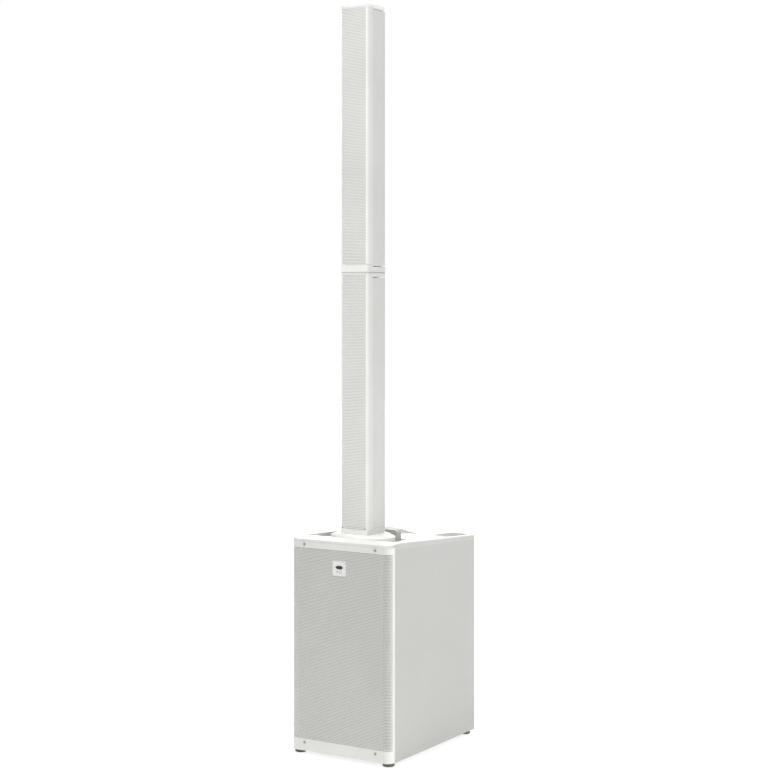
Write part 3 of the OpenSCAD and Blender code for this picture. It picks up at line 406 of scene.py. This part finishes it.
def perforated_sheet(name, path, half_width, z0, z1, field_half, v0, v1, thick):
    """A bent steel sheet with real staggered holes.

    path(u) gives (x, y, outward x, outward y) of the sheet's face at an arc length u from the middle.
    The holes fill |u| < field_half and v0 < z < v1; the rest of the sheet is plain.
    """
    across = 2 * (field_half - HOLE_R - HOLE_MARGIN)
    columns = int(across / PITCH) + 1
    pitch = across / (columns - 1)
    along = v1 - v0 - 2 * HOLE_R - 2 * ROW_MARGIN
    rows = int(along / (pitch * math.sqrt(0.75))) + 1
    rows -= 1 - rows % 2                         # an odd number, so that both ends have a long row
    rise = along / (rows - 1)
    flat = []                                    # (u, v) of every vertex of the face

    def add(u, v):
        flat.append((u, v))
        return len(flat) - 1

    turns = [math.radians(30 + 60 * k) for k in range(6)]
    corner = [(HOLE_R * math.cos(turn), HOLE_R * math.sin(turn)) for turn in turns]
    holes = []                                   # holes[row][column] lists six vertices
    for row in range(rows):
        count = columns - row % 2
        v = v0 + HOLE_R + ROW_MARGIN + row * rise
        holes.append([[add(-(count - 1) / 2 * pitch + c * pitch + du, v + dv) for du, dv in corner]
                      for c in range(count)])
    faces = []
    for row, line in enumerate(holes):
        for a, b in zip(line, line[1:]):
            faces.append((a[5], b[3], b[2], a[0]))
        if row + 1 == rows:
            continue
        above, short = holes[row + 1], row % 2 == 0
        for c, a in enumerate(line):
            left, right = (c - 1, c) if short else (c, c + 1)
            has_left, has_right = left >= 0, right < len(above)
            if has_right:
                faces.append((a[0], above[right][4], above[right][3], a[1]))
            if has_left:
                faces.append((a[1], above[left][5], above[left][4], a[2]))
            if has_left and has_right:
                faces.append((a[1], above[right][3], above[left][5]))
            if has_right and c + 1 < len(line):
                faces.append((a[0], line[c + 1][2], above[right][4]))

    # the outline of the holes' field, joined to straight lines of points on the field's own box
    left_chain, right_chain = [], []
    for row, line in enumerate(holes):
        a, b = line[0], line[-1]
        low, high = row > 0 and row % 2 == 0, row + 1 < rows and row % 2 == 0
        left_chain += ([a[4]] if low else []) + [a[3], a[2]] + ([a[1]] if high else [])
        right_chain += ([b[4]] if low else []) + [b[5], b[0]] + ([b[1]] if high else [])
    bottom_chain = [i for h in holes[0] for i in (h[3], h[4], h[5])]
    top_chain = [i for h in holes[-1] for i in (h[2], h[1], h[0])]
    bottom_line = [add(flat[i][0], v0) for i in bottom_chain]
    top_line = [add(flat[i][0], v1) for i in top_chain]
    left_line = [add(-field_half, flat[i][1]) for i in left_chain]
    right_line = [add(field_half, flat[i][1]) for i in right_chain]
    for near, far, turn in ((bottom_chain, bottom_line, 1), (top_chain, top_line, -1),
                            (left_chain, left_line, -1), (right_chain, right_line, 1)):
        for i in range(len(near) - 1):
            quad = (far[i], far[i + 1], near[i + 1], near[i])
            faces.append(quad if turn > 0 else quad[::-1])
    c00, c10 = add(-field_half, v0), add(field_half, v0)
    c01, c11 = add(-field_half, v1), add(field_half, v1)
    faces += [(c00, bottom_line[0], bottom_chain[0], left_line[0]),
              (bottom_line[-1], c10, right_line[0], bottom_chain[-1]),
              (left_line[-1], top_chain[0], top_line[0], c01),
              (top_chain[-1], right_line[-1], c11, top_line[-1])]

    # plain steel round the field: columns of points beyond each side, rows below and above
    beyond = np.linspace(field_half, half_width, PLAIN_COLUMNS + 1)[1:]
    left_side = [c00] + left_line + [c01]
    right_side = [c10] + right_line + [c11]

    def strip(line_a, line_b):
        for i in range(len(line_a) - 1):
            faces.append((line_a[i], line_a[i + 1], line_b[i + 1], line_b[i]))

    last_left, last_right = left_side, right_side
    low_left, low_right, high_left, high_right = [c00], [c10], [c01], [c11]
    for u in beyond:
        now = [add(-u, flat[i][1]) for i in left_side]
        strip(last_left, now)
        last_left = now
        low_left.append(now[0])
        high_left.append(now[-1])
        now = [add(u, flat[i][1]) for i in right_side]
        strip(now, last_right)
        last_right = now
        low_right.append(now[0])
        high_right.append(now[-1])
    low = low_left[::-1] + bottom_line + low_right
    high = high_left[::-1] + top_line + high_right
    for line, edge in ((low, z0), (high, z1)):
        end = [add(flat[i][0], edge) for i in line]
        if edge == z0:
            strip(end, line)
            low = end
        else:
            strip(line, end)
            high = end

    # the sheet's face and back, the walls of the holes and the outer edges
    count = len(flat)
    verts = np.empty((2 * count, 3))
    for i, (u, v) in enumerate(flat):
        x, y, nx, ny = path(u)
        verts[i] = (x, y, v)
        verts[i + count] = (x - nx * thick, y - ny * thick, v)
    back = [tuple(i + count for i in f[::-1]) for f in faces]
    walls = [(h[k], h[(k + 1) % 6], h[(k + 1) % 6] + count, h[k] + count)
             for line in holes for h in line for k in range(6)]
    outer = low + last_right[1:-1] + high[::-1] + last_left[1:-1][::-1]
    walls += [(b, a, a + count, b + count) for a, b in zip(outer, outer[1:] + outer[:1])]
    obj = object_from(name, verts, faces + back + walls)
    # a flat map of the sheet, so that its finish is laid out as it would be on the blank
    uv = obj.data.uv_layers.new(name="OFBake")
    span = max(2 * half_width, z1 - z0)
    table = np.array(flat * 2)
    loops = np.empty(len(obj.data.loops), np.int64)
    obj.data.loops.foreach_get("vertex_index", loops)
    where = (table[loops] + (half_width, -z0)) / span * 0.98 + 0.01
    uv.data.foreach_set("uv", where.astype(np.float32).ravel())
    return obj


def bend_path(half, radius, face_y, side, inset=0.0, tilt=0.0):
    """The path of a face that is flat in the middle and has round corners that turn to its sides, and
    the arc lengths to the end of the flat, of the corner and of the side.

    inset is how far a side closes in towards the front, and tilt the angle of its face there."""
    flat_end = half - inset - radius
    arc_end = flat_end + radius * math.pi / 2

    def path(u):
        s, a = (1 if u >= 0 else -1), abs(u)
        if a <= flat_end:
            return u, face_y, 0.0, -1.0
        if a <= arc_end:
            t = (a - flat_end) / radius
            return (s * (flat_end + radius * math.sin(t)), face_y + radius * (1 - math.cos(t)),
                    s * math.sin(t), -math.cos(t))
        t = min(1.0, (a - arc_end) / side)
        lean = tilt * (1 - t)
        return (s * (half - inset * (1 - t) ** 2), face_y + radius + t * side,
                s * math.cos(lean), -math.sin(lean))

    return path, flat_end, arc_end, arc_end + side


def make_sub_grille():
    """The subwoofer's grille, whose steel wraps round the cabinet's front corners."""
    low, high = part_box("sub_grille")
    side, steel = 1.2 * MM, 1.5 * MM
    plain_bend, plain_foot, plain_head = 5 * MM, 33 * MM, 17 * MM
    path, _, to_side, end = bend_path(high.x, high.y - low.y - side, low.y, side)
    obj = perforated_sheet("perforated_sub_grille", path, end, low.z, high.z, to_side - plain_bend,
                           low.z + plain_foot, high.z - plain_head, steel)
    return finish_mesh(obj, "grille_steel", BASE, ["sub_grille"])


def make_column_grille(name, node, body, plain_foot, plain_head):
    """A module's grille: a perforated front with plain sides that close in a little towards it."""
    low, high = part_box(node)
    radius, inset, tilt, steel = 2.2 * MM, 0.7 * MM, 0.1, 1.2 * MM
    plain_edge = 0.4 * MM
    path, flat_end, _, end = bend_path(high.x, radius, low.y, high.y - low.y - radius, inset, tilt)
    obj = perforated_sheet(name, path, end, low.z, high.z, flat_end - plain_edge,
                           low.z + plain_foot, high.z - plain_head, steel)
    return finish_mesh(obj, "grille_steel", body, [node])


make_sub_grille()
make_column_grille("perforated_lower_grille", "lower_grille", LOWER, 1.5 * MM, 0.5 * MM)
make_column_grille("perforated_upper_grille", "upper_grille", UPPER, 0.5 * MM, 0.5 * MM)

# ---------------------------------------------------------------- foam behind the grilles

SAG = 0.1    # how far a lining waves between its edges, as a share of its thickness


def make_foam(name, node, body):
    """A thin foam lining: a closed form that billows a little between the edges where it is held."""
    low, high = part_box(node)
    nx, nz = 12, max(12, int((high.z - low.z) / (24 * MM)))    # cells across, and about 24 mm tall
    middle_y, half_t = (low.y + high.y) / 2, (high.y - low.y) / 2
    verts, faces = [], []
    for side in (-1, 1):
        for i in range(nz + 1):
            for j in range(nx + 1):
                a, b = j / nx, i / nz
                edge = min(1.0, 8 * min(a, 1 - a, b * 3, (1 - b) * 3))
                puff = 0.55 + 0.45 * math.sqrt(edge)
                wave = SAG * math.sin(math.pi * a) * (math.sin(9 * b + 2 * a) + math.sin(23 * b)) / 2
                y = middle_y + side * half_t * puff * (1 - SAG) + wave * half_t * edge
                verts.append((low.x + a * (high.x - low.x), y, low.z + b * (high.z - low.z)))
    line = nx + 1                                # vertices in a row
    count = (nz + 1) * line
    for i in range(nz):
        for j in range(nx):
            q = (i * line + j, i * line + j + 1, (i + 1) * line + j + 1, (i + 1) * line + j)
            faces.append(q)
            faces.append(tuple(k + count for k in reversed(q)))
    rim = (list(range(line)) + [i * line + nx for i in range(1, nz + 1)]
           + [nz * line + j for j in range(nx - 1, -1, -1)] + [i * line for i in range(nz - 1, 0, -1)])
    for a, b in zip(rim, rim[1:] + rim[:1]):
        faces.append((b, a, a + count, b + count))
    obj = object_from(name, verts, faces)
    finish_mesh(obj, "acoustic_foam", body, [node])


make_foam("foam_lining_sub", "sub_grille_foam", BASE)
make_foam("foam_lining_lower", "lower_foam", LOWER)
make_foam("foam_lining_upper", "upper_foam", UPPER)

# ---------------------------------------------------------------- CAD shapes with their edges rounded


def softened(node, body, radius):
    """A copy of a CAD node whose edges of over 28 degrees are rounded, which stands for that node."""
    source = frame["nodes"][node]
    mesh = source.data.copy()
    mesh.name = node + "_soft"
    obj = bpy.data.objects.new(node + "_soft", mesh)
    scene.collection.objects.link(obj)
    bm = bmesh.new()
    bm.from_mesh(mesh)
    bmesh.ops.remove_doubles(bm, verts=bm.verts, dist=0.00001)
    bmesh.ops.dissolve_limit(bm, angle_limit=math.radians(0.6), verts=bm.verts, edges=bm.edges)
    bm.to_mesh(mesh)
    bm.free()
    for layer in list(mesh.attributes):
        if layer.name in ("custom_normal", "sharp_edge", "sharp_face"):
            mesh.attributes.remove(layer)
    mesh.polygons.foreach_set("use_smooth", [True] * len(mesh.polygons))
    bevel = obj.modifiers.new("edges", "BEVEL")
    bevel.width = radius
    bevel.segments = 2
    bevel.limit_method = "ANGLE"
    bevel.angle_limit = math.radians(28)
    bevel.use_clamp_overlap = True
    bevel.harden_normals = True
    bpy.context.view_layer.update()
    result = bpy.data.meshes.new_from_object(obj.evaluated_get(bpy.context.evaluated_depsgraph_get()))
    obj.modifiers.clear()
    obj.data = result
    return finish_mesh(obj, SLOT[node], body, [node], sharp=None)


KNOBS = ("input_knob_a", "input_knob_b", "sub_knob", "master_knob")
# millimetres of rounding, by body and node
SOFT = {
    BASE: {"cabinet_shell": 1.2, "top_cover": 1.2, "carry_handle": 2.0, "rubber_feet": 0.6,
           "badge_plate": 0.35, "rear_panel": 0.5, "heat_sink": 0.4, "mains_inlet": 0.5,
           "combo_jacks": 0.5, "link_output": 0.5, "switch_frame": 0.6, "grille_screws": 0.25,
           "rear_panel_screws": 0.2},
    LOWER: {"lower_foot_cap": 0.6, "lower_top_cap": 0.5, "lower_housing": 0.5, "lower_screws": 0.2},
    UPPER: {"upper_bottom_cap": 0.5, "upper_top_cap": 0.6, "upper_housing": 0.5, "upper_screws": 0.2},
    "power_rocker": {"power_rocker": 0.5},
    **{knob: {knob: 0.3} for knob in KNOBS},
}
for body, parts in SOFT.items():
    for node, radius in parts.items():
        softened(node, body, radius * MM)

# ---------------------------------------------------------------- fine parts and printed marks


class Parts:
    """Collects rings, discs and bars drawn on one plane, and makes one mesh of them.

    origin is the plane's middle; right, up and out are its axes."""

    def __init__(self, origin, right, up, out):
        self.origin, self.axes = Vector(origin), (Vector(right), Vector(up), Vector(out))
        self.verts, self.faces = [], []

    def point(self, x, y, z):
        """A place in the frame, from the plane's axes."""
        right, up, out = self.axes
        return self.origin + right * x + up * y + out * z

    def loft(self, rings, closed_ends=True):
        """Joins rings of points, each given in the plane's axes, and caps the first and last."""
        start, n = len(self.verts), len(rings[0])
        for ring in rings:
            self.verts += [self.point(*p) for p in ring]
        for k in range(len(rings) - 1):
            for i in range(n):
                j = (i + 1) % n
                a, b = start + k * n, start + (k + 1) * n
                self.faces.append((a + i, a + j, b + j, b + i))
        if closed_ends:
            self.faces.append(tuple(start + i for i in reversed(range(n))))
            self.faces.append(tuple(start + (len(rings) - 1) * n + i for i in range(n)))

    def ring(self, cx, cy, profile, n):
        """Spins a closed profile of (radius, height) in n steps."""
        start, m = len(self.verts), len(profile)
        for i in range(n):
            c, s = math.cos(2 * math.pi * i / n), math.sin(2 * math.pi * i / n)
            self.verts += [self.point(cx + radius * c, cy + radius * s, z) for radius, z in profile]
        for i in range(n):
            a, b = start + i * m, start + (i + 1) % n * m
            for k in range(m):
                self.faces.append((a + k, b + k, b + (k + 1) % m, a + (k + 1) % m))

    def bar(self, x, y, w, h, turn, z0, z1, round_to=0.25):
        """A bar of w by h, turned about its own middle. Its corners are cut by round_to of its width."""
        cut = min(w, h) * round_to
        a, b = w / 2, h / 2
        corners = [(a - cut, -b), (a, -b + cut), (a, b - cut), (a - cut, b),
                   (-a + cut, b), (-a, b - cut), (-a, -b + cut), (-a + cut, -b)]
        c, s = math.cos(turn), math.sin(turn)
        flat = [(x + c * u - s * v, y + s * u + c * v) for u, v in corners]
        self.loft([[(u, v, z0) for u, v in flat], [(u, v, z1) for u, v in flat]])

    def frame(self, cx, cy, w, h, radius, line, z0, z1, n=6):
        """A rounded rectangle's outline of a given line width."""
        def outline(inset):
            rr = max(radius - inset, 0.1 * MM)
            points = []
            for q, (sx, sy) in enumerate(((1, 1), (-1, 1), (-1, -1), (1, -1))):
                for k in range(n + 1):
                    a = math.pi / 2 * (q + k / n)
                    points.append((cx + sx * (w / 2 - inset - rr) + rr * math.cos(a),
                                   cy + sy * (h / 2 - inset - rr) + rr * math.sin(a)))
            return points

        outer, inner = outline(0), outline(line)
        rings = [[(a, b, z) for a, b in shape] for shape, z in
                 ((outer, z0), (outer, z1), (inner, z1), (inner, z0), (outer, z0))]
        self.loft(rings, closed_ends=False)

    def build(self, name, slot_name, body):
        """Makes the piece."""
        obj = object_from(name, self.verts, self.faces)
        bm = bmesh.new()
        bm.from_mesh(obj.data)
        bmesh.ops.remove_doubles(bm, verts=bm.verts, dist=0.000001)
        bmesh.ops.recalc_face_normals(bm, faces=bm.faces)
        bm.to_mesh(obj.data)
        bm.free()
        return finish_mesh(obj, slot_name, body)


def middle(node):
    """The middle of a node's box."""
    low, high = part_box(node)
    return (low + high) / 2


PRINT = 0.12 * MM           # thickness of the panel's print
LINE = 0.6 * MM             # width of its lines
JACK_SPACING = 50 * MM      # between the two combo jacks
JACK_WIDTH = 26 * MM        # of a jack's flange


def rear_plane(y):
    """Parts drawn on the plane at y and seen from behind, so their x runs towards the frame's -X."""
    return Parts((0, y, 0), (-1, 0, 0), (0, 0, 1), (0, 1, 0))


def make_panel_marks():
    """Generic print on the control panel: dial ticks, frames round the groups and flow arrows."""
    marks = rear_plane(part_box("rear_panel")[1].y)

    def group(x, width, low_z, high_z):
        """A frame round the controls of one group, about x."""
        marks.frame(-x, (high_z + low_z) / 2, width, high_z - low_z, 4 * MM, LINE, 0, PRINT)

    # eleven ticks round each knob, long at the ends and the middle of its turn
    long_tick, short_tick, tick_w, gap = 2.6 * MM, 1.6 * MM, 0.5 * MM, 1.6 * MM
    for knob in KNOBS:
        at = middle(knob)
        low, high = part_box(knob)
        for step in range(11):
            angle = math.radians(90 + 150 - 30 * step)
            length = long_tick if step % 5 == 0 else short_tick
            reach = (high.x - low.x) / 2 + gap + length / 2
            marks.bar(-at.x + reach * math.cos(angle), at.z + reach * math.sin(angle),
                      length, tick_w, angle, 0, PRINT)

    # a frame round each input's controls, one round the outputs', and one round the mains
    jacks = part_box("combo_jacks")
    margin, input_w, output_w = 8 * MM, 45 * MM, 95 * MM
    group_low, group_top = jacks[0].z - margin, middle("status_lights").z + margin
    group(middle("input_knob_a").x, input_w, group_low, group_top)
    group(middle("input_knob_b").x, input_w, group_low, group_top)
    group((middle("sub_knob").x + middle("master_knob").x) / 2, output_w, group_low, group_top)
    inlet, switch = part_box("mains_inlet"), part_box("switch_frame")
    edge = 6 * MM
    left, right = min(switch[0].x, inlet[0].x) - edge, max(switch[1].x, inlet[1].x) + edge
    group((left + right) / 2, right - left,
          min(switch[0].z, inlet[0].z) - edge, max(switch[1].z, inlet[1].z) + edge)

    # an arrow under each input and under the output, to show the way of the signal
    jacks_x = middle("combo_jacks").x
    z = jacks[0].z - 4 * MM
    for x, way in ((jacks_x + JACK_SPACING / 2, 1), (jacks_x - JACK_SPACING / 2, 1),
                   (middle("link_output").x, -1)):
        marks.bar(-x, z, LINE, 4 * MM, 0, 0, PRINT)
        for s in (-1, 1):
            marks.bar(-x + s * 0.8 * MM, z + way * 1.3 * MM, LINE, 2.4 * MM,
                      s * way * math.radians(40), 0, PRINT)
    marks.build("panel_marks", "white_plastic", BASE)


def make_flange_screws():
    """Small cross-head screws at two corners of each flange of the combo jacks and the link output."""
    flange_t, in_x, in_z = 2.5 * MM, 2.7 * MM, 3 * MM
    heads = rear_plane(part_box("rear_panel")[1].y + flange_t)
    jack_low, jack_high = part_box("combo_jacks")
    link_low, link_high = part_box("link_output")
    spots = []
    for low_x, high_x, low_z, high_z in (
            (jack_low.x, jack_low.x + JACK_WIDTH, jack_low.z, jack_high.z),
            (jack_high.x - JACK_WIDTH, jack_high.x, jack_low.z, jack_high.z),
            (link_low.x, link_high.x, link_low.z, link_high.z)):
        spots += [(low_x + in_x, high_z - in_z), (high_x - in_x, low_z + in_z)]
    # a domed head with a small hole in its middle, as (radius, height), under the two bars of its cross
    dome = [(0.4 * MM, 0.35 * MM), (0.5 * MM, 0.75 * MM), (1.5 * MM, 0.55 * MM), (1.9 * MM, 0.0),
            (0.4 * MM, 0.0)]
    for x, z in spots:
        heads.ring(-x, z, dome, 20)
        for turn in (0.4, 0.4 + math.pi / 2):
            heads.bar(-x, z, 2.2 * MM, 0.35 * MM, turn, 0.3 * MM, 0.72 * MM)
    heads.build("flange_screws", "screw_steel", BASE)


def make_badge_bar():
    """A plain enamelled bar in the badge's pressed groove, and two fine lines under it."""
    low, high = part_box("badge_plate")
    origin = ((low.x + high.x) / 2, low.y, (low.z + high.z) / 2)
    marks = Parts(origin, (1, 0, 0), (0, 0, 1), (0, -1, 0))
    bar_z, bar_w, bar_h, line_w, line_h = 3 * MM, 23.6 * MM, 9.6 * MM, 20 * MM, 0.7 * MM
    sunk, skin = 0.4 * MM, 0.05 * MM             # the groove's depth, and half a line's thickness
    marks.bar(0, bar_z, bar_w, bar_h, 0, -sunk, -skin, 0.45)
    for line_z in (-8 * MM, -12 * MM):
        marks.bar(0, line_z, line_w, line_h, 0, -skin, skin)
    marks.build("badge_bar", "black_plastic", BASE)


make_panel_marks()
make_flange_screws()
make_badge_bar()

# ---------------------------------------------------------------- CAD nodes carried over

for node, obj in frame["nodes"].items():
    obj.data.materials.clear()
    obj.data.materials.append(MATERIALS[SHADE.get(node, SLOT[node])])

# ---------------------------------------------------------------- floor, light and camera

FLOOR_PAINT = (0.93, 0.93, 0.93)    # as the object and the lights meet it
SEEN_PAINT = (0.13, 0.13, 0.13)     # and as the camera does,
SEEN_GLOW = 0.87                    # with the glow that makes up the rest of its white


def make_floor():
    """A white light table: to the camera it glows and its paint is dim, so that no shadow greys it and
    it isn't brighter than the backdrop. To the object it is plain pale paint."""
    floor_mat, tree, shader = new_material("floor_paint", FLOOR_PAINT, 0.6)
    seen = tree.nodes.new("ShaderNodeLightPath").outputs["Is Camera Ray"]
    tree.links.new(mixed(tree, seen, FLOOR_PAINT, SEEN_PAINT), shader.inputs["Base Color"])
    shader.inputs["Emission Color"].default_value = (1, 1, 1, 1)
    tree.links.new(calc(tree, "MULTIPLY", seen, SEEN_GLOW), shader.inputs["Emission Strength"])
    half = 14
    corners = [(-half, -half, 0), (half, -half, 0), (half, half, 0), (-half, half, 0)]
    obj = object_from("studio_floor", corners, [(0, 1, 2, 3)])
    obj.data.materials.append(floor_mat)


def make_light(name, place_at, size, power, target):
    """A soft box of a given width and height, in metres, turned to its target."""
    lamp = bpy.data.lights.new(name, "AREA")
    lamp.shape = "RECTANGLE"
    lamp.size, lamp.size_y = size
    lamp.energy = power
    obj = bpy.data.objects.new(name, lamp)
    obj.location = place_at
    obj.rotation_euler = (Vector(target) - Vector(place_at)).to_track_quat("-Z", "Y").to_euler()
    scene.collection.objects.link(obj)


def make_sun(name, towards, strength, spread):
    """A distant soft light; towards points from the object to the light."""
    lamp = bpy.data.lights.new(name, "SUN")
    lamp.energy = strength
    lamp.angle = math.radians(spread)
    obj = bpy.data.objects.new(name, lamp)
    obj.rotation_euler = Vector(towards).to_track_quat("Z", "Y").to_euler()
    scene.collection.objects.link(obj)


def make_world(strength):
    """A white backdrop, which lights the object only as brightly as strength."""
    world = bpy.data.worlds.new("studio")
    world.use_nodes = True
    nodes, links = world.node_tree.nodes, world.node_tree.links
    room = nodes["Background"]
    room.inputs["Color"].default_value = (1, 1, 1, 1)
    room.inputs["Strength"].default_value = strength
    backdrop = nodes.new("ShaderNodeBackground")
    backdrop.inputs["Color"].default_value = (1, 1, 1, 1)
    backdrop.inputs["Strength"].default_value = 1.0
    mix = nodes.new("ShaderNodeMixShader")
    links.new(nodes.new("ShaderNodeLightPath").outputs["Is Camera Ray"], mix.inputs["Fac"])
    links.new(room.outputs["Background"], mix.inputs[1])
    links.new(backdrop.outputs["Background"], mix.inputs[2])
    links.new(mix.outputs["Shader"], nodes["World Output"].inputs["Surface"])
    scene.world = world


def make_camera():
    """A level camera to the front right of the object, with its view shifted down to take it in.

    Its place is given from the grille's front right corner. The distance between them follows from the
    grille's width, and the steps to the left and up from that distance."""
    turn = math.radians(32.2)
    width_share, left_share, height_share = 0.07128, 0.00359, 0.27145
    forward = Vector((-math.sin(turn), math.cos(turn), 0))
    right = Vector((math.cos(turn), math.sin(turn), 0))
    low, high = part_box("sub_grille")
    distance = (high.x - low.x) / width_share
    data = bpy.data.cameras.new("camera")
    data.sensor_fit = "VERTICAL"
    data.sensor_height, data.sensor_width, data.lens = 36, 28, 80.3
    data.shift_y = -0.109
    data.clip_end = 60
    cam = bpy.data.objects.new("camera", data)
    cam.location = Vector((high.x, low.y, 0)) - forward * distance - right * left_share * distance
    cam.location.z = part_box("cabinet_shell")[0].z + height_share * distance
    cam.rotation_euler = (math.pi / 2, 0, turn)
    scene.collection.objects.link(cam)
    scene.camera = cam


make_floor()
make_world(0.05)
# suns: the way to the light, strength and spread in degrees
make_sun("overhead", (0.0, -0.08, 1.0), 1.35, 40)
make_sun("key", (0.55, -0.30, 0.78), 1.41, 30)
make_sun("fill", (-0.30, -0.45, 0.84), 1.09, 40)
make_sun("back", (-0.40, 0.90, 0.12), 1.5, 40)
# soft boxes: place, size, power and target
make_light("rim", (3.0, 2.2, 1.3), (0.12, 2.6), 11, (0, 0, 1.1))
make_light("strip", (3.0, -1.9, 1.3), (0.12, 2.6), 4, (0, 0, 1.1))
make_light("high", (0.8, -1.6, 3.4), (1.0, 1.0), 17, (0, 0, 1.9))
make_camera()
scene.view_settings.view_transform = "Standard"
